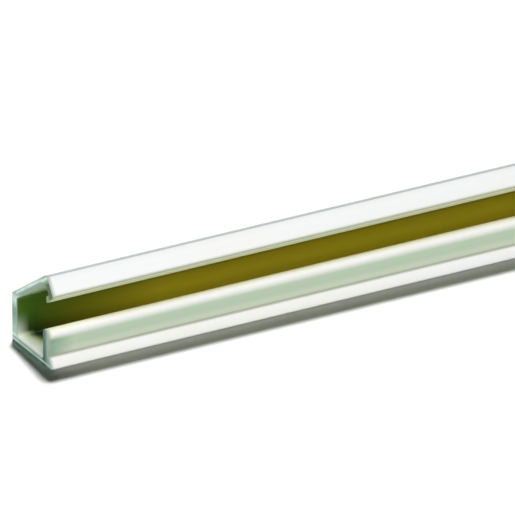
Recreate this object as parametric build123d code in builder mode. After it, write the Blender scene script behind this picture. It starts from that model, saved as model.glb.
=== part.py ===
"""Cord cover raceway: one length of white PVC channel with an open mouth along its front.

The section is drawn in the YZ plane and runs along X. The back wall stands at +Y, the mouth opens
towards -Y, and the flat base lies on Z = 0 with the origin at the middle of its underside.
"""

import os
from math import cos, radians, sin, tan

from build123d import *

# Stock
stock_length = 400.0

# Base and its foot, which runs along the front
base_width = 19.5
base_thickness = 1.65
foot_reach = 1.3
foot_root = 3.0
foot_edge = 0.4

# Walls
back_wall = 2.4
back_height = 12.6
front_wall = 2.8
front_height = 9.75

# Hood: the roof rises from the back wall, its skirt turns down at the front and its lip turns in
roof_rise = 34.5
roof_length = 21.1
hood_wall = 2.0
skirt_depth = 5.95
lip_reach = 4.55
lip_turn = 4.5
lip_wall = 1.4

# Rounded corners
nose_radius = 1.3
skirt_radius = 0.45
inner_radius = 0.5
edge_radius = 0.3
toe_radius = 0.15

# Places across the section, from the back to the toe of the foot
back_outer = base_width / 2
back_inner = back_outer - back_wall
toe = -base_width / 2
front_outer = toe + foot_reach
front_inner = front_outer + front_wall
crown_radius = front_wall / 2
crown_spring = front_height - crown_radius

# The hood's own directions: along the roof to the front, and square to it down the skirt
rise = radians(roof_rise)
along_roof = Vector(-cos(rise), sin(rise))
down_skirt = Vector(-sin(rise), -cos(rise))
roof_start = Vector(back_outer, back_height)


def hood(along, down):
    """Return the section point that lies this far along the roof and this far below its top."""
    return roof_start + along_roof * along + down_skirt * down


# Where the roof's underside meets the back wall
under_roof_start = (back_wall - hood_wall * sin(rise)) / cos(rise)

# The lip turns in a little more than square to the skirt, and its tip is cut upright
turn = radians(lip_turn)
skirt_inner = roof_length - hood_wall
lip_root = skirt_depth + hood_wall * tan(turn) - lip_wall / cos(turn)
lip_tip = hood(roof_length - lip_reach * cos(turn), skirt_depth + lip_reach * sin(turn))
lip_tip_top = lip_tip + Vector(0, lip_wall / cos(rise + turn))

# Every corner with its radius, from inside the front wall round the channel to the wall's outside
corners = [
    ((front_inner, base_thickness), inner_radius),
    ((back_inner, base_thickness), inner_radius),
    (hood(under_roof_start, hood_wall), inner_radius),
    (hood(skirt_inner, hood_wall), inner_radius),
    (hood(skirt_inner, lip_root), inner_radius),
    (lip_tip_top, edge_radius),
    (lip_tip, edge_radius),
    (hood(roof_length, skirt_depth), skirt_radius),
    (hood(roof_length, 0), nose_radius),
    (roof_start, edge_radius),
    ((back_outer, 0), edge_radius),
    ((toe, 0), toe_radius),
    ((toe, foot_edge), toe_radius),
    ((front_outer, foot_root), edge_radius),
]
inner_shoulder = (front_inner, crown_spring)
outer_shoulder = (front_outer, crown_spring)
crown = (front_outer + crown_radius, front_height)

# The whole channel is one extrusion of that section
with BuildPart() as raceway_channel:
    with BuildSketch(Plane.YZ):
        with BuildLine():
            points = [point for point, _ in corners]
            radii = [radius for _, radius in corners]
            FilletPolyline(inner_shoulder, *points, outer_shoulder, radius=radii)
            ThreePointArc(outer_shoulder, crown, inner_shoulder)
        make_face()
    extrude(amount=stock_length / 2, both=True)
raceway_channel.part.label = "raceway_channel"

os.makedirs("parts", exist_ok=True)
export_step(raceway_channel.part, "parts/raceway_channel.step")
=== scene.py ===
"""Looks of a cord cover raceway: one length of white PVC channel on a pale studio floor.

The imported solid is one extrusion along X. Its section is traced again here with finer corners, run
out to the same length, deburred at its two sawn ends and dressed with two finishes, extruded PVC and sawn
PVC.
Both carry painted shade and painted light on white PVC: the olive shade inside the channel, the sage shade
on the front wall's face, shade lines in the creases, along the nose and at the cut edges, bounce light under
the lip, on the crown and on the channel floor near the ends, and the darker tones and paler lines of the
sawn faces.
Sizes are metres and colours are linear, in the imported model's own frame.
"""

import logging
from dataclasses import dataclass, field
from enum import Enum, IntEnum
from math import ceil, cos, pi, radians, sin, tan

import bmesh
import bpy
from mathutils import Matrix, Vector


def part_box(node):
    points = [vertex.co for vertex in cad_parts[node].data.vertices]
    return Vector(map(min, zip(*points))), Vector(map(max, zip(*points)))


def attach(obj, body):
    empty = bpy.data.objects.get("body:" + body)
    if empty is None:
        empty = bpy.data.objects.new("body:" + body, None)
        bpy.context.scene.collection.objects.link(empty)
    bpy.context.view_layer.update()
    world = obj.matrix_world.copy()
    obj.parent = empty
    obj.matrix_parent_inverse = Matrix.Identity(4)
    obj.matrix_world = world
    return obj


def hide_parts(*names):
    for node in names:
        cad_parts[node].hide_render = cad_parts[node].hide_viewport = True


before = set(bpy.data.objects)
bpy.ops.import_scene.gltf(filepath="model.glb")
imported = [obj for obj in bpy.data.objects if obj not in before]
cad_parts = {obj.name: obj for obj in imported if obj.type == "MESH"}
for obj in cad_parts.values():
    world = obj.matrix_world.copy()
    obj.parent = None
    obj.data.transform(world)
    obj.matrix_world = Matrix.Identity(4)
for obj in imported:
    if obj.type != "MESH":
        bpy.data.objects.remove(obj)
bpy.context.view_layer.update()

log = logging.getLogger("raceway")

Colour = tuple[float, float, float]
Node = bpy.types.Node
Socket = bpy.types.NodeSocket
SocketValue = Socket | float | tuple | Vector
Axes = bpy.types.bpy_prop_collection

MM = 0.001
WHITE: Colour = (1.0, 1.0, 1.0)
NOISE_LOW = 0.3
NOISE_HIGH = 0.7
NODE_NAME = "raceway_channel"
PIECE_NAME = "dressed_channel"
BODY_NAME = "root"


class Mark(Enum):
    """Vertex attributes that tell the finish where on the section it is."""

    # The marks say where painted shade and painted light go: shade inside the channel, shade on the front
    # wall's face, thin lines of shade in creases and along the nose, and bounce light under the lip and on
    # the crown's inner edge.
    CHANNEL_SHADE = "channel_shade"
    SHADE = "shade"
    CREASE = "crease"
    LIP = "lip"
    GLOW = "glow"


class Slot(IntEnum):
    """Material slots of the channel's mesh."""

    EXTRUDED = 0
    SAWN = 1


@dataclass(frozen=True)
class Marks:
    """How strongly each mark shows at one place on the section, from 0 to 1."""

    channel_shade: float = 0.0
    shade: float = 0.0
    crease: float = 0.0
    lip: float = 0.0
    glow: float = 0.0

    def toward(self, other: "Marks", share: float) -> "Marks":
        """Return the marks that lie this share of the way to others."""
        pairs = [(getattr(self, mark.value), getattr(other, mark.value)) for mark in Mark]
        return Marks(*(near * (1.0 - share) + far * share for near, far in pairs))


class Zone(Enum):
    """Stretches of the section, each with its marks."""

    # The front wall's face and the channel inside carry painted shade; the lip's underside carries painted
    # bounce light.
    SKIN = Marks()
    FACE = Marks(shade=1.0)
    CHANNEL_SHADE = Marks(channel_shade=1.0)
    LIP = Marks(lip=1.0)


@dataclass(frozen=True)
class Stop:
    """The marks at one place on an arc."""

    share: float
    marks: Marks


@dataclass(frozen=True)
class Corner:
    """A rounded corner of the section, the stretch that follows it and its own tint."""

    place: Vector
    radius: float
    zone_after: Zone
    tint: tuple[Stop, ...] = ()

    def stops(self, before: Zone) -> list[Stop]:
        """List the marks along the corner's arc.

        Args:
            before: The stretch that leads to the corner.

        Returns:
            Stops from the arc's start to its end.
        """
        stops = list(self.tint)
        if not stops or stops[0].share > 0.0:
            stops.insert(0, Stop(0.0, before.value))
        if stops[-1].share < 1.0:
            stops.append(Stop(1.0, self.zone_after.value))
        return stops


@dataclass(frozen=True)
class ChannelSection:
    """Sizes of the raceway's section, in the YZ plane with the mouth towards -Y."""

    back_outer: float
    base_width: float = 19.5 * MM
    base_thickness: float = 1.65 * MM
    foot_reach: float = 1.3 * MM
    foot_root: float = 3.0 * MM
    foot_edge: float = 0.4 * MM
    back_wall: float = 2.4 * MM
    back_height: float = 12.6 * MM
    front_wall: float = 2.8 * MM
    front_height: float = 9.75 * MM
    roof_rise: float = radians(34.5)
    roof_length: float = 21.1 * MM
    hood_wall: float = 2.0 * MM
    skirt_depth: float = 5.95 * MM
    lip_reach: float = 4.55 * MM
    lip_turn: float = radians(4.5)
    lip_wall: float = 1.4 * MM
    nose_radius: float = 1.3 * MM
    skirt_radius: float = 0.45 * MM
    inner_radius: float = 0.5 * MM
    edge_radius: float = 0.3 * MM
    toe_radius: float = 0.15 * MM
    # How far down the face its painted shade takes to set in below the crown.
    crown_fade: float = 1.2 * MM
    # Painted shade along the top of the nose's round.
    nose_tint: tuple[Stop, ...] = (
        Stop(0.22, Marks()),
        Stop(0.38, Marks(crease=0.95)),
        Stop(0.92, Marks(crease=0.95)),
        Stop(1.0, Marks()),
    )
    # Painted bounce light and a painted shade line round the skirt's lower corner.
    skirt_tint: tuple[Stop, ...] = (
        Stop(0.15, Marks(lip=1.0)),
        Stop(0.4, Marks(crease=1.0, lip=0.6)),
        Stop(0.9, Marks(crease=1.0, lip=0.3)),
        Stop(1.0, Marks(crease=0.5, lip=0.3)),
    )
    # Painted shade in the crease at the foot's root, running into the face's painted shade.
    foot_tint: tuple[Stop, ...] = (
        Stop(0.0, Marks(crease=0.9)),
        Stop(1.0, Marks(shade=0.8, crease=0.9)),
    )
    # Painted bounce light along the crown's inner edge, turning into the channel's painted shade.
    crown_tint: tuple[Stop, ...] = (
        Stop(0.0, Marks()),
        Stop(0.2, Marks()),
        Stop(0.45, Marks(glow=0.8)),
        Stop(0.64, Marks(glow=1.0)),
        Stop(0.72, Marks(channel_shade=0.2, glow=1.0)),
        Stop(0.9, Marks(channel_shade=1.0)),
        Stop(1.0, Marks(channel_shade=1.0)),
    )

    @property
    def toe(self) -> float:
        """Return how far forward the foot reaches."""
        return self.back_outer - self.base_width

    @property
    def front_outer(self) -> float:
        """Return where the front wall's face stands."""
        return self.toe + self.foot_reach

    @property
    def front_inner(self) -> float:
        """Return where the front wall's inner side stands."""
        return self.front_outer + self.front_wall

    @property
    def crown_spring(self) -> float:
        """Return the height at which the front wall's round top begins."""
        return self.front_height - self.front_wall / 2

    def at(self, y: float, z: float) -> Vector:
        """Return a point of the section."""
        return Vector((0.0, y, z))

    def hood(self, along: float, down: float) -> Vector:
        """Find a point of the hood in the roof's own directions.

        Args:
            along: Distance along the roof from the back wall to the front.
            down: Distance square to the roof, below its top.

        Returns:
            The point in the YZ plane.
        """
        along_roof = self.at(-cos(self.roof_rise), sin(self.roof_rise))
        down_skirt = self.at(-sin(self.roof_rise), -cos(self.roof_rise))
        return self.at(self.back_outer, self.back_height) + along_roof * along + down_skirt * down

    def corners(self) -> list[Corner]:
        """List the section's corners.

        Returns:
            The corners from inside the front wall, round the channel, to the wall's face.
        """
        back_inner = self.back_outer - self.back_wall
        under_roof_start = (self.back_wall - self.hood_wall * sin(self.roof_rise)) / cos(self.roof_rise)
        skirt_inner = self.roof_length - self.hood_wall
        lip_top = self.skirt_depth - self.lip_wall / cos(self.lip_turn)
        lip_root = lip_top + self.hood_wall * tan(self.lip_turn)
        lip_tip = self.hood(self.roof_length - self.lip_reach * cos(self.lip_turn),
                            self.skirt_depth + self.lip_reach * sin(self.lip_turn))
        lip_tip_top = lip_tip + self.at(0.0, self.lip_wall / cos(self.roof_rise + self.lip_turn))
        skirt_end = self.hood(self.roof_length, self.skirt_depth)
        return [
            Corner(self.at(self.front_inner, self.base_thickness), self.inner_radius, Zone.CHANNEL_SHADE),
            Corner(self.at(back_inner, self.base_thickness), self.inner_radius, Zone.CHANNEL_SHADE),
            Corner(self.hood(under_roof_start, self.hood_wall), self.inner_radius, Zone.CHANNEL_SHADE),
            Corner(self.hood(skirt_inner, self.hood_wall), self.inner_radius, Zone.CHANNEL_SHADE),
            Corner(self.hood(skirt_inner, lip_root), self.inner_radius, Zone.CHANNEL_SHADE),
            Corner(lip_tip_top, self.edge_radius, Zone.CHANNEL_SHADE),
            Corner(lip_tip, self.edge_radius, Zone.LIP),
            Corner(skirt_end, self.skirt_radius, Zone.SKIN, self.skirt_tint),
            Corner(self.hood(self.roof_length, 0.0), self.nose_radius, Zone.SKIN, self.nose_tint),
            Corner(self.at(self.back_outer, self.back_height), self.edge_radius, Zone.SKIN),
            Corner(self.at(self.back_outer, 0.0), self.edge_radius, Zone.SKIN),
            Corner(self.at(self.toe, 0.0), self.toe_radius, Zone.SKIN),
            Corner(self.at(self.toe, self.foot_edge), self.toe_radius, Zone.SKIN),
            Corner(self.at(self.front_outer, self.foot_root), self.edge_radius, Zone.FACE, self.foot_tint),
        ]


class SectionPen:
    """Draws the section as a closed wire, marking every vertex as it goes."""

    SHORTEST_RUN = 1.5
    SLACK = 1e-6
    MERGE_DISTANCE = 0.001 * MM

    def __init__(self, bm: bmesh.types.BMesh, start: Vector, zone: Zone) -> None:
        """Set the pen down.

        Args:
            bm: The mesh to draw in.
            start: Where the wire begins.
            zone: The stretch that it begins on.
        """
        self.bm = bm
        self.layers = {mark: bm.verts.layers.float.new(mark.value) for mark in Mark}
        self.zone = zone
        self.tip = bm.verts.new(start)
        self.mark_tip(zone.value)

    def mark_tip(self, marks: Marks) -> None:
        """Write the marks on the vertex under the pen."""
        for mark, layer in self.layers.items():
            self.tip[layer] = getattr(marks, mark.value)

    def line_to(self, place: Vector, marks: Marks) -> None:
        """Draw one straight edge.

        Args:
            place: Where the edge ends.
            marks: The marks at its end.
        """
        made = bmesh.ops.extrude_vert_indiv(self.bm, verts=[self.tip])
        self.tip = made["verts"][0]
        self.tip.co = place
        self.mark_tip(marks)

    def run_to(self, place: Vector, margins: tuple[float, float], marks: Marks) -> None:
        """Draw a straight stretch with a vertex close to each end, so that tones and shading stay there.

        Args:
            place: Where the stretch ends.
            margins: How far from its start and its end the two extra vertices are.
            marks: The marks at its end.
        """
        start = self.tip.co.copy()
        run = place - start
        if run.length > self.SHORTEST_RUN * sum(margins):
            along = run.normalized()
            self.line_to(start + along * margins[0], self.zone.value)
            self.line_to(place - along * margins[1], self.zone.value)
        self.line_to(place, marks)

    def arc(self, centre: Vector, angle: float, steps: int, stops: list[Stop]) -> None:
        """Draw an arc from the pen's place.

        Args:
            centre: The arc's centre.
            angle: How far it turns about +X, in radians.
            steps: Its number of edges.
            stops: The marks along it.
        """
        for step in range(1, steps + 1):
            made = bmesh.ops.spin(
                self.bm, geom=[self.tip], cent=centre, axis=(1.0, 0.0, 0.0), angle=angle / steps, steps=1
            )
            self.tip = next(item for item in made["geom_last"] if isinstance(item, bmesh.types.BMVert))
            self.mark_tip(self.marks_at(stops, step / steps))

    def marks_at(self, stops: list[Stop], share: float) -> Marks:
        """Return the marks at this share of the way along an arc."""
        before, after = next(pair for pair in zip(stops, stops[1:]) if share <= pair[1].share + self.SLACK)
        return before.marks.toward(after.marks, (share - before.share) / (after.share - before.share))

    def corner(self, corner: Corner, onward: Vector, margin: float, step_angle: float) -> None:
        """Run to a corner and round it.

        Args:
            corner: The corner and the stretch that follows it.
            onward: The next corner's place, which gives the direction to leave in.
            margin: How far from the stretch's ends its extra vertices are.
            step_angle: The most that one edge of the arc turns.
        """
        arriving = (corner.place - self.tip.co).normalized()
        leaving = (onward - corner.place).normalized()
        turn = arriving.angle(leaving)
        side = 1.0 if arriving.cross(leaving).x > 0 else -1.0
        tangent = corner.radius * tan(turn / 2)
        inward = Vector((0.0, -arriving.z, arriving.y)) * side
        stops = corner.stops(self.zone)
        self.run_to(corner.place - arriving * tangent, (margin, margin), stops[0].marks)
        centre = self.tip.co + inward * corner.radius
        self.arc(centre, turn * side, ceil(turn / step_angle), stops)
        self.zone = corner.zone_after

    def close(self) -> None:
        """Join the wire's end to its start."""
        bmesh.ops.remove_doubles(self.bm, verts=self.bm.verts, dist=self.MERGE_DISTANCE)


class NodeBench:
    """Adds nodes to one tree and wires them as they are added."""

    SPACING = 200.0

    def __init__(self, tree: bpy.types.NodeTree) -> None:
        """Keep the tree to work on."""
        self.tree = tree

    def add(
        self, kind: str, inputs: dict[str | int, SocketValue] | None = None, **settings: object
    ) -> Node:
        """Add one node.

        Args:
            kind: The node's type.
            inputs: Sockets to wire or values to set, by socket name or number.
            settings: The node's own options.

        Returns:
            The node.
        """
        node = self.tree.nodes.new(kind)
        node.location.x = self.SPACING * len(self.tree.nodes)
        for name, value in settings.items():
            setattr(node, name, value)
        for key, value in (inputs or {}).items():
            if isinstance(value, Socket):
                self.tree.links.new(value, node.inputs[key])
            else:
                node.inputs[key].default_value = value
        return node

    def math(self, operation: str, first: SocketValue, second: SocketValue = 0.0) -> Socket:
        """Return the result of a Math node."""
        return self.add("ShaderNodeMath", {0: first, 1: second}, operation=operation).outputs[0]

    def remap(
        self, value: Socket, low: float, high: float, to_low: float = 0.0, to_high: float = 1.0,
        smooth: bool = True,
    ) -> Socket:
        """Spread a range of values over another and clamp them to it.

        Args:
            value: The value to spread.
            low: Where the range begins.
            high: Where it ends.
            to_low: What its beginning becomes.
            to_high: What its end becomes.
            smooth: Whether the ends ease in and out.

        Returns:
            The new value.
        """
        sockets = {"Value": value, "From Min": low, "From Max": high, "To Min": to_low, "To Max": to_high}
        kind = "SMOOTHSTEP" if smooth else "LINEAR"
        return self.add("ShaderNodeMapRange", sockets, interpolation_type=kind).outputs["Result"]

    def stripe(self, value: Socket, middle: float, half_width: float) -> Socket:
        """Return a mask that is 1 where the value is in the middle and fades to 0 on both sides."""
        off = self.math("ABSOLUTE", self.math("SUBTRACT", value, middle))
        return self.remap(off, 0.0, half_width, 1.0, 0.0)

    def blend(
        self, share: SocketValue, first: SocketValue, second: SocketValue, mode: str = "MIX"
    ) -> Socket:
        """Mix two colours.

        Args:
            share: How much of the second shows.
            first: The first colour.
            second: The second colour.
            mode: How they mix.

        Returns:
            The mixed colour.
        """
        inputs = {0: share, 6: opaque(first), 7: opaque(second)}
        node = self.add("ShaderNodeMix", inputs, data_type="RGBA", blend_type=mode)
        return node.outputs[2]

    def grade(
        self, value: Socket, low: float, high: float, first: SocketValue, second: SocketValue
    ) -> Socket:
        """Return a colour that turns from the first to the second as the value goes from low to high."""
        return self.blend(self.remap(value, low, high), first, second)

    def mark(self, mark: Mark) -> Socket:
        """Return one of the section's marks."""
        return self.add("ShaderNodeAttribute", attribute_name=mark.value).outputs["Fac"]

    def place(self) -> Socket:
        """Return the place on the piece."""
        return self.add("ShaderNodeTexCoord").outputs["Object"]

    def axes(self) -> Axes:
        """Return the place on the piece, axis by axis."""
        return self.add("ShaderNodeSeparateXYZ", {0: self.place()}).outputs


def opaque(value: SocketValue) -> SocketValue:
    """Give a plain colour its alpha and let a socket through."""
    return value if isinstance(value, Socket) else (*value, 1.0)


@dataclass(frozen=True)
class Noise:
    """One layer of soft noise."""

    scale: float
    detail: float
    roughness: float = 0.5

    def over(self, bench: NodeBench, place: Socket) -> Socket:
        """Return the noise at a place."""
        inputs = {"Vector": place, "Scale": self.scale, "Detail": self.detail, "Roughness": self.roughness}
        return bench.add("ShaderNodeTexNoise", inputs).outputs["Fac"]


class SharedEffects:
    """Node groups that both finishes use."""

    FINE_LINES = Noise(1.0, 3.0, 0.6)
    BROAD_LINES = Noise(0.3, 1.0)
    PATCHES = Noise(1.0, 2.0)
    GRAIN = Noise(24.0, 2.0)

    def __init__(self) -> None:
        """Build each group once."""
        self.streaks = self.build_streaks()
        self.mottle = self.build_mottle()
        self.end_fade = self.build_end_fade()

    @staticmethod
    def start(name: str, inputs: list[str], outputs: list[str]) -> tuple[NodeBench, Node]:
        """Start a group with number sockets.

        Args:
            name: The group's name.
            inputs: Its inputs, which every finish sets.
            outputs: Its outputs.

        Returns:
            The bench for the group and its input node.
        """
        group = bpy.data.node_groups.new(name, "ShaderNodeTree")
        for side, names in (("INPUT", inputs), ("OUTPUT", outputs)):
            for socket in names:
                group.interface.new_socket(name=socket, in_out=side, socket_type="NodeSocketFloat")
        bench = NodeBench(group)
        return bench, bench.add("NodeGroupInput")

    @staticmethod
    def stretch(bench: NodeBench, place: Socket, inside: Node) -> Socket:
        """Scale a place by the group's own inputs.

        Args:
            bench: The group's bench.
            place: The place to scale.
            inside: The group's input node.

        Returns:
            The place, scaled along the length and across it.
        """
        across = inside.outputs["Across"]
        scale = bench.add("ShaderNodeCombineXYZ", {"X": inside.outputs["Along"], "Y": across, "Z": across})
        inputs = {0: place, 1: scale.outputs[0]}
        return bench.add("ShaderNodeVectorMath", inputs, operation="MULTIPLY").outputs[0]

    def build_streaks(self) -> bpy.types.NodeTree:
        """Build fine lines along one direction, as a die or a saw leaves them.

        Returns:
            The group.
        """
        bench, inside = self.start("streaks", ["Along", "Across", "Tilt"], ["Height", "Tone"])
        inputs = {"Vector": bench.place(), "Angle": inside.outputs["Tilt"]}
        turned = bench.add("ShaderNodeVectorRotate", inputs, rotation_type="X_AXIS")
        place = self.stretch(bench, turned.outputs[0], inside)
        height = self.FINE_LINES.over(bench, place)
        tone = self.BROAD_LINES.over(bench, place)
        bench.add("NodeGroupOutput", {"Height": height, "Tone": tone})
        return bench.tree

    def build_mottle(self) -> bpy.types.NodeTree:
        """Build soft patches and a finer grain.

        Returns:
            The group.
        """
        bench, inside = self.start("mottle", ["Along", "Across"], ["Patch", "Grain"])
        place = self.stretch(bench, bench.place(), inside)
        patches = bench.remap(self.PATCHES.over(bench, place), NOISE_LOW, NOISE_HIGH)
        bench.add("NodeGroupOutput", {"Patch": patches, "Grain": self.GRAIN.over(bench, place)})
        return bench.tree

    def build_end_fade(self) -> bpy.types.NodeTree:
        """Build a mask that is 1 at the sawn ends, up to its start, and falls evenly to 0 at its reach.

        Returns:
            The group.
        """
        bench, inside = self.start("end fade", ["Half Length", "Start", "Reach"], ["Fade"])
        along = bench.axes()["X"]
        depth = bench.math("SUBTRACT", inside.outputs["Half Length"], bench.math("ABSOLUTE", along))
        past = bench.math("SUBTRACT", depth, inside.outputs["Start"])
        span = bench.math("SUBTRACT", inside.outputs["Reach"], inside.outputs["Start"])
        fade = bench.remap(bench.math("DIVIDE", past, span), 0.0, 1.0, 1.0, 0.0, smooth=False)
        bench.add("NodeGroupOutput", {"Fade": fade})
        return bench.tree


@dataclass(frozen=True)
class Finish:
    """What the two finishes have in common."""

    half_length: float
    index_of_refraction: float = 1.53
    roughness: float = 0.38
    glossier: float = 0.05
    duller: float = 0.07
    lines_along: float = 6.0
    lines_across: float = 1400.0
    lines_tilt: float = 0.0
    line_depth: float = 0.008 * MM
    line_strength: float = 0.5
    patches_along: float = 30.0
    patches_across: float = 120.0

    def start(self, name: str) -> tuple[bpy.types.Material, NodeBench, Node]:
        """Start a material.

        Args:
            name: The material's name.

        Returns:
            The material, a bench for its nodes and its shader.
        """
        material = bpy.data.materials.new(name)
        material.use_nodes = True
        bench = NodeBench(material.node_tree)
        shader = material.node_tree.nodes["Principled BSDF"]
        shader.inputs["IOR"].default_value = self.index_of_refraction
        return material, bench, shader

    def fade(
        self, bench: NodeBench, effects: SharedEffects, reach: SocketValue, start: float = 0.0
    ) -> Socket:
        """Return the mask that fades between these depths, in from the sawn ends."""
        inputs = {"Half Length": self.half_length, "Start": start, "Reach": reach}
        return bench.add("ShaderNodeGroup", inputs, node_tree=effects.end_fade).outputs["Fade"]

    def texture(self, bench: NodeBench, effects: SharedEffects) -> tuple[Node, Node]:
        """Place the finish's fine lines and its soft patches.

        Args:
            bench: The material's bench.
            effects: The shared node groups.

        Returns:
            The lines and the patches.
        """
        inputs = {"Along": self.lines_along, "Across": self.lines_across, "Tilt": self.lines_tilt}
        lines = bench.add("ShaderNodeGroup", inputs, node_tree=effects.streaks)
        inputs = {"Along": self.patches_along, "Across": self.patches_across}
        return lines, bench.add("ShaderNodeGroup", inputs, node_tree=effects.mottle)

    def wire(self, bench: NodeBench, shader: Node, colour: Socket, lines: Node, mottle: Node) -> None:
        """Wire the shader.

        Args:
            bench: The material's bench.
            shader: The shader.
            colour: The finish's colour.
            lines: Its fine lines.
            mottle: Its soft patches.
        """
        least = self.roughness - self.glossier
        most = self.roughness + self.duller
        dullness = bench.remap(mottle.outputs["Grain"], NOISE_LOW, NOISE_HIGH, least, most)
        height = lines.outputs["Height"]
        relief = {"Height": height, "Distance": self.line_depth, "Strength": self.line_strength}
        bump = bench.add("ShaderNodeBump", relief).outputs["Normal"]
        for name, source in {"Base Color": colour, "Roughness": dullness, "Normal": bump}.items():
            bench.tree.links.new(source, shader.inputs[name])


@dataclass(frozen=True)
class ExtrudedPvc(Finish):
    """Satin white PVC as it leaves the die, carrying painted shade and painted light on the skin and inside
    the channel.
    """

    # Lit and shaded copies of one white: the hood is painted a little darker and the foot a little lighter,
    # to even out the lamps.
    hood_white_painted_shade: Colour = (0.91, 0.92, 0.933)
    low_white: Colour = (0.92, 0.92, 0.91)
    foot_white_painted_light: Colour = (0.975, 0.975, 0.98)
    warm_patch: Colour = (1.0, 0.99, 0.96)
    # Painted shade on the front wall's face: lighter towards its foot and darker near the sawn ends.
    sage: Colour = (0.535, 0.66, 0.497)
    low_face_painted_shade: Colour = (0.68, 0.76, 0.60)
    end_face_painted_shade: Colour = (0.20, 0.355, 0.215)
    low_end_face_painted_shade: Colour = (0.27, 0.42, 0.30)
    # Painted bounce light under the lip and along the crown's inner edge.
    lip_painted_bounce_light: Colour = (0.90, 0.96, 0.62)
    crown_painted_bounce_light: Colour = (0.945, 0.905, 0.62)
    # Painted shade in the creases, along the nose's top, in from the sawn ends on the skin, and at the rims
    # of the cuts.
    crease_painted_shade: Colour = (0.42, 0.43, 0.34)
    nose_painted_shade: Colour = (0.44, 0.48, 0.49)
    cut_edge_painted_shade: Colour = (0.40, 0.46, 0.39)
    rim_painted_shade: Colour = (0.32, 0.39, 0.33)
    # The channel inside is painted shade: olive with browner patches, darker under the hood, deep green
    # towards the sawn ends.
    channel_shade_olive: Colour = (0.55, 0.48, 0.013)
    channel_shade_brown: Colour = (0.57, 0.46, 0.017)
    shade_olive: Colour = (0.36, 0.33, 0.010)
    low_end_painted_shade: Colour = (0.010, 0.036, 0.001)
    high_end_painted_shade: Colour = (0.075, 0.17, 0.009)
    # Painted light just inside the sawn ends: on the walls, on the roof's underside and as a pool on the
    # channel floor, dimmer towards the back.
    end_painted_light: Colour = (0.80, 0.90, 0.74)
    roof_painted_light: Colour = (0.70, 0.88, 0.58)
    floor_painted_light: Colour = (0.95, 0.97, 0.93)
    rear_floor_painted_light: Colour = (0.88, 0.93, 0.87)
    floor_painted_light_edge: Colour = (0.55, 0.68, 0.32)
    white_low: float = 10.5 * MM
    white_high: float = 14.0 * MM
    nose_low: float = 20.5 * MM
    nose_high: float = 22.5 * MM
    edge_reach: float = 1.1 * MM
    rim_reach: float = 0.35 * MM
    face_foot: float = 4.0 * MM
    face_turn: float = 5.6 * MM
    face_high: float = 7.0 * MM
    sage_reach: float = 7.0 * MM
    shade_low: float = 7.95 * MM
    shade_high: float = 8.6 * MM
    olive_start: float = 5.0 * MM
    olive_reach: float = 40.0 * MM
    deep_low: float = 2.5 * MM
    deep_high: float = 9.0 * MM
    pale_reach: float = 3.4 * MM
    pale_low: float = 2.6 * MM
    pale_high: float = 8.5 * MM
    roof_reach: float = 11.0 * MM
    roof_low: float = 10.8 * MM
    roof_high: float = 15.5 * MM
    cream_front: float = -4.5 * MM
    cream_back: float = 6.5 * MM
    cream_deep: float = 9.3 * MM
    cream_shallow: float = 5.4 * MM
    floor_top: float = 1.75 * MM
    floor_blend: float = 1.2 * MM
    pale_fall: float = 1.5
    glow_full: float = 0.6
    cream_begin: float = 0.25
    cream_full: float = 0.9
    tone_low: float = 0.25
    tone_high: float = 0.75
    tone_dark: float = 0.96

    def build(self, effects: SharedEffects) -> bpy.types.Material:
        """Make the material.

        Args:
            effects: The shared node groups.

        Returns:
            The material.
        """
        material, bench, shader = self.start("extruded pvc")
        lines, mottle = self.texture(bench, effects)
        skin = self.skin_colour(bench, effects, mottle)
        channel_shade = self.channel_shade_colour(bench, effects, mottle)
        colour = bench.blend(bench.mark(Mark.CHANNEL_SHADE), skin, channel_shade)
        # Painted shade at the rims of the sawn ends, inside and out.
        colour = bench.blend(self.fade(bench, effects, self.rim_reach), colour, self.rim_painted_shade)
        tone = bench.remap(lines.outputs["Tone"], self.tone_low, self.tone_high, self.tone_dark, 1.0)
        grey = bench.add("ShaderNodeCombineColor", {0: tone, 1: tone, 2: tone}).outputs[0]
        colour = bench.blend(1.0, colour, grey, mode="MULTIPLY")
        self.wire(bench, shader, colour, lines, mottle)
        return material

    def skin_colour(self, bench: NodeBench, effects: SharedEffects, mottle: Node) -> Socket:
        """Colour the outside.

        Args:
            bench: The material's bench.
            effects: The shared node groups.
            mottle: The soft patches.

        Returns:
            The skin's colour, with painted shade on its face, in its creases, along the nose and at the
            cuts, and painted light on the foot, under the lip and on the crown.
        """
        height = bench.axes()["Z"]
        # Painted light on the foot and painted shade on the hood, graded by height.
        low = bench.grade(height, self.face_foot, self.face_turn, self.foot_white_painted_light, self.low_white)
        white = bench.grade(height, self.white_low, self.white_high, low, self.hood_white_painted_shade)
        white = bench.blend(mottle.outputs["Patch"], white, self.warm_patch, mode="MULTIPLY")
        # The face's painted shade, lighter low down and darker towards the sawn ends.
        face = bench.grade(height, self.face_foot, self.face_turn, self.low_face_painted_shade, self.sage)
        end = bench.grade(height, self.face_turn, self.face_high, self.low_end_face_painted_shade, self.end_face_painted_shade)
        face = bench.blend(self.fade(bench, effects, self.sage_reach), face, end)
        shaded = bench.blend(bench.mark(Mark.SHADE), white, face)
        # Painted bounce light under the lip and on the crown's inner edge.
        lipped = bench.blend(bench.mark(Mark.LIP), shaded, self.lip_painted_bounce_light)
        warmed = bench.blend(bench.mark(Mark.GLOW), lipped, self.crown_painted_bounce_light)
        # Painted shade lines in the creases and along the nose, greyer up on the nose.
        grey = bench.grade(height, self.nose_low, self.nose_high, self.crease_painted_shade, self.nose_painted_shade)
        creased = bench.blend(bench.mark(Mark.CREASE), warmed, grey)
        # Painted shade on the skin in from the sawn ends.
        return bench.blend(self.fade(bench, effects, self.edge_reach), creased, self.cut_edge_painted_shade)

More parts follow.
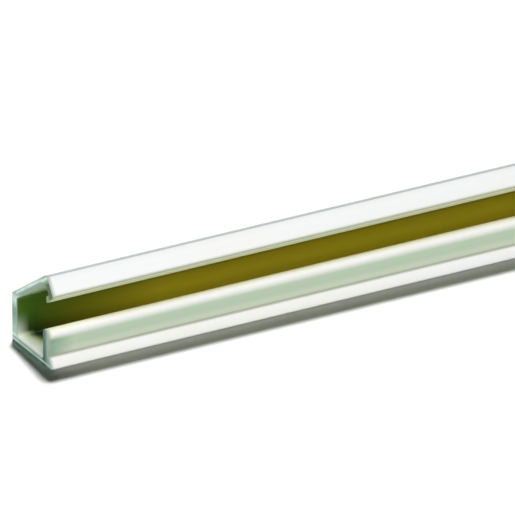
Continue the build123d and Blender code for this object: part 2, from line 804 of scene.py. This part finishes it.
    def channel_shade_colour(self, bench: NodeBench, effects: SharedEffects, mottle: Node) -> Socket:
        """Paint the shade inside the channel, and the light just inside its sawn ends.

        Args:
            bench: The material's bench.
            effects: The shared node groups.
            mottle: The soft patches.

        Returns:
            The channel's painted shade, deep green towards the ends, with painted light just inside them.
        """
        place = bench.axes()
        # The olive painted shade, with random browner patches, darker under the hood.
        channel_shade_olive = bench.blend(mottle.outputs["Patch"], self.channel_shade_olive, self.channel_shade_brown)
        channel_shade_olive = bench.grade(place["Z"], self.shade_low, self.shade_high, channel_shade_olive, self.shade_olive)
        # Deeper green painted shade towards the sawn ends, lighter higher up.
        height = bench.remap(place["Z"], self.deep_low, self.deep_high, smooth=False)
        end_painted_shade = bench.blend(height, self.low_end_painted_shade, self.high_end_painted_shade)
        wall = bench.blend(self.fade(bench, effects, self.olive_reach, self.olive_start), channel_shade_olive, end_painted_shade)
        # Painted light on the walls just inside the sawn ends, strongest low down, and on the roof's
        # underside.
        above_floor = bench.remap(place["Z"], self.pale_low, self.pale_high, 1.0, 0.0, smooth=False)
        pale_share = bench.math("MULTIPLY", self.fade(bench, effects, self.pale_reach),
                                bench.math("POWER", above_floor, self.pale_fall))
        wall = bench.blend(pale_share, wall, self.end_painted_light)
        roof_share = bench.math("MULTIPLY", self.fade(bench, effects, self.roof_reach),
                                bench.remap(place["Z"], self.roof_low, self.roof_high))
        wall = bench.blend(roof_share, wall, self.roof_painted_light)
        # A painted pool of light on the channel floor near the ends, reaching further in towards the front
        # and dimmer towards the back.
        reach = bench.remap(
            place["Y"], self.cream_front, self.cream_back, self.cream_deep, self.cream_shallow, smooth=False
        )
        low = bench.remap(place["Z"], self.floor_top, self.floor_top + self.floor_blend, 1.0, 0.0)
        lit = self.fade(bench, effects, reach)
        glow_share = bench.math("MULTIPLY", low, bench.remap(lit, 0.0, self.glow_full))
        wall = bench.blend(glow_share, wall, self.floor_painted_light_edge)
        cream = bench.grade(place["Y"], 0.0, self.cream_back, self.floor_painted_light, self.rear_floor_painted_light)
        cream_share = bench.math("MULTIPLY", low, bench.remap(lit, self.cream_begin, self.cream_full))
        return bench.blend(cream_share, wall, cream)


@dataclass(frozen=True)
class SawnPvc(Finish):
    """The cut faces at the two ends: white PVC with painted shade, darkest at the front, and lines of
    painted light along the roof and the base.
    """

    section: ChannelSection | None = None
    roughness: float = 0.62
    glossier: float = 0.08
    duller: float = 0.08
    lines_along: float = 900.0
    lines_across: float = 900.0
    lines_tilt: float = radians(25.0)
    line_depth: float = 0.03 * MM
    line_strength: float = 0.6
    patches_along: float = 300.0
    patches_across: float = 300.0
    # The first colour is painted light; the others are painted shade on the cut faces.
    pale: Colour = (0.68, 0.865, 0.76)
    roof_cut_painted_shade: Colour = (0.235, 0.35, 0.26)
    back_cut_painted_shade: Colour = (0.185, 0.30, 0.237)
    base_cut_painted_shade: Colour = (0.155, 0.28, 0.225)
    skirt_cut_painted_shade: Colour = (0.057, 0.098, 0.04)
    lip_cut_painted_shade: Colour = (0.205, 0.28, 0.11)
    inner_wall_cut_painted_shade: Colour = (0.059, 0.128, 0.10)
    outer_wall_cut_painted_shade: Colour = (0.30, 0.448, 0.38)
    dull_low: float = 8.0 * MM
    dull_high: float = 12.6 * MM
    roof_line: float = 0.58 * MM
    roof_half: float = 0.7 * MM
    roof_under: float = 1.6 * MM
    roof_below: float = 2.4 * MM
    roof_begin: float = 0.8 * MM
    roof_clear: float = 3.0 * MM
    nose_start: float = 15.5 * MM
    nose_full: float = 18.5 * MM
    nose_line: float = 0.86 * MM
    lip_inner: float = 18.5 * MM
    lip_outer: float = 19.1 * MM
    lip_start: float = 4.3 * MM
    lip_full: float = 4.8 * MM
    hood_end: float = 8.0 * MM
    wall_start: float = 9.0 * MM
    wall_outer: float = -8.3 * MM
    wall_inner: float = -6.4 * MM
    front_start: float = -4.5 * MM
    front_full: float = -6.0 * MM
    base_line: float = 0.8 * MM
    base_half: float = 0.45 * MM
    base_top: float = 1.5 * MM
    low_band: float = 2.0 * MM
    low_half: float = 1.0 * MM
    low_end: float = 7.4 * MM
    high_band: float = 11.3 * MM
    high_half: float = 2.8 * MM
    low_share: float = 0.65
    patch_least: float = 0.7

    def build(self, effects: SharedEffects) -> bpy.types.Material:
        """Make the material.

        Args:
            effects: The shared node groups.

        Returns:
            The material.
        """
        material, bench, shader = self.start("sawn pvc")
        lines, mottle = self.texture(bench, effects)
        place = bench.axes()
        along, down = self.hood_place(bench)
        # The front of the cut, across the skirt, the lip and the wall, has its own painted shade.
        front = bench.math("MULTIPLY", bench.remap(place["Y"], self.front_full, self.front_start, 1.0, 0.0),
                           bench.remap(down, self.roof_under, self.roof_below))
        front_colour = self.front_colour(bench, place, along, down)
        plain = bench.blend(front, self.rear_colour(bench, place), front_colour)
        # Lines and bands of painted light, kept off the front part and broken up by random patches.
        behind = bench.remap(front, 0.0, 1.0, 1.0, 0.0)
        bands = bench.math("MULTIPLY", self.painted_light_bands(bench, place), behind)
        painted_light_share = bench.math("MAXIMUM", self.painted_light_lines(bench, place, along, down), bands)
        patch = bench.remap(mottle.outputs["Patch"], 0.0, 1.0, self.patch_least, 1.0)
        colour = bench.blend(bench.math("MULTIPLY", painted_light_share, patch), plain, self.pale)
        self.wire(bench, shader, colour, lines, mottle)
        return material

    def hood_place(self, bench: NodeBench) -> tuple[Socket, Socket]:
        """Find the place in the roof's own directions.

        Args:
            bench: The material's bench.

        Returns:
            How far it is along the roof and how far below the roof's top.
        """
        start = self.section.hood(0.0, 0.0)
        ways = (self.section.hood(1.0, 0.0) - start, self.section.hood(0.0, 1.0) - start)
        inputs = {0: bench.place(), 1: start}
        offset = bench.add("ShaderNodeVectorMath", inputs, operation="SUBTRACT").outputs[0]
        along, down = (
            bench.add("ShaderNodeVectorMath", {0: offset, 1: way}, operation="DOT_PRODUCT").outputs["Value"]
            for way in ways
        )
        return along, down

    def rear_colour(self, bench: NodeBench, place: Axes) -> Socket:
        """Return the painted shade on the cut across the roof, the back wall and the base, before its
        painted light lines.
        """
        upper_cut_painted_shade = bench.grade(place["Z"], self.dull_low, self.dull_high, self.back_cut_painted_shade, self.roof_cut_painted_shade)
        return bench.grade(place["Z"], self.base_top, self.low_band, self.base_cut_painted_shade, upper_cut_painted_shade)

    def front_colour(self, bench: NodeBench, place: Axes, along: Socket, down: Socket) -> Socket:
        """Paint the shade on the cut across the skirt, the lip and the front wall.

        Args:
            bench: The material's bench.
            place: The place on the piece, axis by axis.
            along: How far the place is along the roof.
            down: How far it is below the roof's top.

        Returns:
            The painted shade, darkest on the skirt and on the inner side of the wall.
        """
        lip = bench.math("MULTIPLY", bench.remap(down, self.lip_start, self.lip_full),
                         bench.remap(along, self.lip_inner, self.lip_outer, 1.0, 0.0))
        hood = bench.blend(lip, self.skirt_cut_painted_shade, self.lip_cut_painted_shade)
        wall = bench.grade(place["Y"], self.wall_outer, self.wall_inner, self.outer_wall_cut_painted_shade, self.inner_wall_cut_painted_shade)
        return bench.grade(down, self.hood_end, self.wall_start, hood, wall)

    def painted_light_lines(self, bench: NodeBench, place: Axes, along: Socket, down: Socket) -> Socket:
        """Mask the lines of painted light along the roof and the base.

        Args:
            bench: The material's bench.
            place: The place on the piece, axis by axis.
            along: How far the place is along the roof.
            down: How far it is below the roof's top.

        Returns:
            The mask.
        """
        line = bench.remap(along, self.nose_start, self.nose_full, self.roof_line, self.nose_line)
        roof_line = bench.math("MULTIPLY", bench.remap(along, self.roof_begin, self.roof_clear),
                               bench.stripe(bench.math("SUBTRACT", down, line), 0.0, self.roof_half))
        base_line = bench.stripe(place["Z"], self.base_line, self.base_half)
        return bench.math("MAXIMUM", roof_line, base_line)

    def painted_light_bands(self, bench: NodeBench, place: Axes) -> Socket:
        """Mask the bands of painted light across the back wall.

        Args:
            bench: The material's bench.
            place: The place on the piece, axis by axis.

        Returns:
            The mask of a thin low line, the fading stretch above it and a high band.
        """
        low_line = bench.stripe(place["Z"], self.low_band, self.low_half)
        rise = bench.remap(place["Z"], self.base_top, self.low_band)
        fall = bench.remap(place["Z"], self.low_band, self.low_end, self.low_share, 0.0, smooth=False)
        low_fall = bench.math("MULTIPLY", rise, fall)
        high_band = bench.stripe(place["Z"], self.high_band, self.high_half)
        return bench.math("MAXIMUM", bench.math("MAXIMUM", low_line, low_fall), high_band)


@dataclass
class RacewayChannel:
    """The raceway itself: one run of the section, deburred at both sawn ends."""

    section: ChannelSection
    half_length: float
    deburr: float = 0.12 * MM
    margin: float = 0.5 * MM
    arc_step: float = radians(7.5)
    lengthwise_cuts: int = 39
    smooth_below: float = radians(24.0)
    piece: bpy.types.Object | None = field(default=None, init=False)

    def trace(self, bm: bmesh.types.BMesh) -> None:
        """Draw the section's wire.

        Args:
            bm: The mesh to draw in.
        """
        shape = self.section
        inner_shoulder = shape.at(shape.front_inner, shape.crown_spring)
        outer_shoulder = shape.at(shape.front_outer, shape.crown_spring)
        crown_centre = (inner_shoulder + outer_shoulder) / 2
        crown_stops = list(shape.crown_tint)
        corners = shape.corners()
        pen = SectionPen(bm, inner_shoulder, Zone.CHANNEL_SHADE)
        for corner, onward in zip(corners, [*(each.place for each in corners[1:]), outer_shoulder]):
            pen.corner(corner, onward, self.margin, self.arc_step)
        pen.run_to(outer_shoulder, (self.margin, shape.crown_fade), crown_stops[0].marks)
        pen.arc(crown_centre, -pi, ceil(pi / self.arc_step), crown_stops)
        pen.close()

    def build(self) -> bpy.types.Object:
        """Model the channel.

        Returns:
            The new object, with its place in its mesh.
        """
        bm = bmesh.new()
        self.trace(bm)
        cut_plane = self.half_length - self.deburr
        bmesh.ops.translate(bm, verts=bm.verts, vec=(-cut_plane, 0.0, 0.0))
        near_loop = list(bm.edges)
        grown = bmesh.ops.extrude_edge_only(bm, edges=near_loop)["geom"]
        far_verts = [item for item in grown if isinstance(item, bmesh.types.BMVert)]
        far_loop = [item for item in grown if isinstance(item, bmesh.types.BMEdge)
                    and all(vert in far_verts for vert in item.verts)]
        bmesh.ops.translate(bm, verts=far_verts, vec=(2 * cut_plane, 0.0, 0.0))
        long_edges = [edge for edge in bm.edges if edge.calc_length() > cut_plane]
        caps = [bmesh.ops.contextual_create(bm, geom=loop)["faces"][0] for loop in (near_loop, far_loop)]
        bmesh.ops.recalc_face_normals(bm, faces=bm.faces)
        rims = bmesh.ops.inset_region(
            bm, faces=caps, thickness=self.deburr, depth=self.deburr, use_boundary=True, use_even_offset=True
        )["faces"]
        for face in caps:
            face.material_index = Slot.SAWN
        for face in rims:
            face.material_index = Slot.EXTRUDED
        bmesh.ops.subdivide_edges(bm, edges=long_edges, cuts=self.lengthwise_cuts, use_grid_fill=True)
        mesh = bpy.data.meshes.new(PIECE_NAME)
        bm.to_mesh(mesh)
        bm.free()
        mesh.shade_smooth()
        mesh.set_sharp_from_angle(angle=self.smooth_below)
        self.piece = bpy.data.objects.new(PIECE_NAME, mesh)
        bpy.context.scene.collection.objects.link(self.piece)
        return self.piece

    def dress(self, effects: SharedEffects) -> None:
        """Give the channel its finishes.

        Args:
            effects: The shared node groups.
        """
        extruded = ExtrudedPvc(self.half_length).build(effects)
        sawn = SawnPvc(self.half_length, section=self.section).build(effects)
        for slot in Slot:
            self.piece.data.materials.append({Slot.EXTRUDED: extruded, Slot.SAWN: sawn}[slot])

    def register(self) -> None:
        """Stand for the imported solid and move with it."""
        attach(self.piece, BODY_NAME)
        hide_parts(NODE_NAME)


def direction(azimuth: float, elevation: float) -> Vector:
    """Point from the object towards a viewer or a lamp.

    Args:
        azimuth: Turn from the front, -Y, towards +X, in radians.
        elevation: Height above the floor, in radians.

    Returns:
        The unit vector.
    """
    return Vector((sin(azimuth) * cos(elevation), -cos(azimuth) * cos(elevation), sin(elevation)))


def hang(lamp: bpy.types.Light, towards: Vector, lit: bpy.types.Collection) -> bpy.types.Object:
    """Put a lamp in the scene.

    Args:
        lamp: The lamp.
        towards: The direction in which it hangs, seen from the object.
        lit: What it lights.

    Returns:
        The lamp's object, turned to the object.
    """
    holder = bpy.data.objects.new(lamp.name, lamp)
    holder.rotation_euler = towards.to_track_quat("Z", "Y").to_euler()
    holder.light_linking.receiver_collection = lit
    bpy.context.scene.collection.objects.link(holder)
    return holder


@dataclass(frozen=True)
class SoftLamp:
    """A softbox that lights only what it is meant for."""

    name: str
    azimuth: float
    elevation: float
    distance: float
    width: float
    height: float
    level: float
    colour: Colour = WHITE

    def place(self, target: Vector, lit: bpy.types.Collection) -> None:
        """Hang the lamp.

        Args:
            target: Where it points.
            lit: What it lights.
        """
        lamp = bpy.data.lights.new(self.name, "AREA")
        lamp.shape = "RECTANGLE"
        lamp.size = self.width
        lamp.size_y = self.height
        lamp.color = self.colour
        lamp.energy = self.level * (pi * self.distance) ** 2
        towards = direction(self.azimuth, self.elevation)
        holder = hang(lamp, towards, lit)
        holder.location = target + towards * self.distance
        holder.visible_camera = False


@dataclass(frozen=True)
class WideLamp:
    """A far lamp, as wide as its spread, that lights only what it is meant for."""

    name: str
    azimuth: float
    elevation: float
    spread: float
    level: float
    colour: Colour = WHITE

    def place(self, lit: bpy.types.Collection) -> None:
        """Hang the lamp.

        Args:
            lit: What it lights.
        """
        lamp = bpy.data.lights.new(self.name, "SUN")
        lamp.energy = self.level * pi
        lamp.angle = self.spread
        lamp.color = self.colour
        hang(lamp, direction(self.azimuth, self.elevation), lit)


@dataclass(frozen=True)
class Studio:
    """The pale floor, the white surroundings and the lamps."""

    floor_half: float = 4.0
    floor_drop: float = 0.01 * MM
    floor_pale: float = 0.8
    floor_bounce: float = 0.6
    overhead: WideLamp = WideLamp("overhead", radians(143.5), radians(72.7), radians(7.5), 1.362)
    fill: WideLamp = WideLamp("fill", 0.0, radians(90.0), radians(180.0), 0.14, (0.90, 1.0, 0.95))
    lamps: tuple[SoftLamp, ...] = (
        SoftLamp("key", radians(-24.0), radians(58.0), 1.6, 0.5, 0.5, 0.39, (1.0, 0.99, 0.97)),
        SoftLamp("front", radians(-10.0), radians(29.0), 1.5, 1.7, 0.6, 0.425),
        SoftLamp("side", radians(-105.0), radians(30.0), 1.5, 0.6, 0.6, 0.39, (0.97, 1.0, 0.98)),
        SoftLamp("back", radians(165.0), radians(22.0), 1.6, 1.4, 0.8, 0.32),
    )

    def build_floor(self) -> bpy.types.Object:
        """Lay the floor.

        Returns:
            The floor.
        """
        bm = bmesh.new()
        bmesh.ops.create_grid(bm, x_segments=1, y_segments=1, size=self.floor_half)
        bmesh.ops.translate(bm, verts=bm.verts, vec=(0.0, 0.0, -self.floor_drop))
        mesh = bpy.data.meshes.new("studio_floor")
        bm.to_mesh(mesh)
        bm.free()
        mesh.materials.append(self.floor_material())
        floor = bpy.data.objects.new("studio_floor", mesh)
        bpy.context.scene.collection.objects.link(floor)
        return floor

    def floor_material(self) -> bpy.types.Material:
        """Make the floor pale, quieter in what it throws back, and clear from below.

        Returns:
            The material.
        """
        material = bpy.data.materials.new("studio floor")
        material.use_nodes = True
        material.node_tree.nodes.clear()
        bench = NodeBench(material.node_tree)
        bounce = bench.add("ShaderNodeBsdfDiffuse", {"Color": opaque((self.floor_bounce,) * 3)})
        pale = bench.add("ShaderNodeBsdfDiffuse", {"Color": opaque((self.floor_pale,) * 3)})
        seen = self.seen_directly(bench)
        top = bench.add("ShaderNodeMixShader", {0: seen, 1: bounce.outputs[0], 2: pale.outputs[0]})
        below = bench.add("ShaderNodeNewGeometry").outputs["Backfacing"]
        clear = bench.add("ShaderNodeBsdfTransparent")
        both = bench.add("ShaderNodeMixShader", {0: below, 1: top.outputs[0], 2: clear.outputs[0]})
        bench.add("ShaderNodeOutputMaterial", {"Surface": both.outputs[0]})
        return material

    @staticmethod
    def seen_directly(bench: NodeBench) -> Socket:
        """Mask the rays that see a surface, straight on, mirrored or through glass.

        Args:
            bench: The bench of the floor or the surroundings.

        Returns:
            The mask.
        """
        path = bench.add("ShaderNodeLightPath").outputs
        mirrored = bench.math("MAXIMUM", path["Is Glossy Ray"], path["Is Transmission Ray"])
        return bench.math("MAXIMUM", path["Is Camera Ray"], mirrored)

    def build_world(self) -> None:
        """Make the surroundings white to look at. The lamps alone give light."""
        world = bpy.data.worlds.new("studio")
        world.use_nodes = True
        world.node_tree.nodes.clear()
        bench = NodeBench(world.node_tree)
        inputs = {"Color": opaque(WHITE), "Strength": self.seen_directly(bench)}
        around = bench.add("ShaderNodeBackground", inputs)
        bench.add("ShaderNodeOutputWorld", {"Surface": around.outputs[0]})
        bpy.context.scene.world = world

    def build(self, piece: bpy.types.Object, target: Vector) -> None:
        """Set up the stage round the object.

        Args:
            piece: The object.
            target: Where the softboxes point.
        """
        floor = self.build_floor()
        self.build_world()
        lit_piece = bpy.data.collections.new("lit by the softboxes and the fill")
        lit_piece.objects.link(piece)
        lit_floor = bpy.data.collections.new("lit by the overhead lamp")
        lit_floor.objects.link(floor)
        for lamp in self.lamps:
            lamp.place(target, lit_piece)
        self.fill.place(lit_piece)
        self.overhead.place(lit_floor)


@dataclass(frozen=True)
class PhotoView:
    """The photograph's viewpoint, far off with a long lens."""

    azimuth: float = radians(-29.05)
    elevation: float = radians(25.6)
    lens: float = 1500.0
    sensor: float = 36.0
    frame_width: float = 123.2 * MM
    right_of_corner: float = 58.7 * MM
    above_corner: float = 19.63 * MM

    def build(self, corner: Vector) -> Vector:
        """Set the scene's camera.

        Args:
            corner: The near end's lower back corner, which places the picture.

        Returns:
            The point at the picture's middle.
        """
        data = bpy.data.cameras.new("photo view")
        data.lens = self.lens
        data.sensor_width = self.sensor
        camera = bpy.data.objects.new("photo view", data)
        back = direction(self.azimuth, self.elevation)
        turn = back.to_track_quat("Z", "Y")
        right = turn @ Vector((1.0, 0.0, 0.0))
        up = turn @ Vector((0.0, 1.0, 0.0))
        middle = corner + right * self.right_of_corner + up * self.above_corner
        camera.location = middle + back * (self.frame_width * self.lens / self.sensor)
        camera.rotation_euler = turn.to_euler()
        bpy.context.scene.collection.objects.link(camera)
        bpy.context.scene.camera = camera
        return middle


def main() -> None:
    """Build the raceway, its stage and its view, and report each piece."""
    logging.basicConfig(level=logging.INFO, format="%(name)s: %(message)s")
    low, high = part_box(NODE_NAME)
    channel = RacewayChannel(ChannelSection(back_outer=high.y), half_length=high.x)
    piece = channel.build()
    channel.dress(SharedEffects())
    channel.register()
    log.info("%s: %d faces, stands for %s", piece.name, len(piece.data.polygons), NODE_NAME)
    middle = PhotoView().build(Vector((low.x, high.y, low.z)))
    Studio().build(piece, Vector((middle.x, 0.0, 0.0)))
    bpy.context.scene.view_settings.view_transform = "Standard"
    log.info("stage and view are set")


if __name__ == "__main__":
    main()
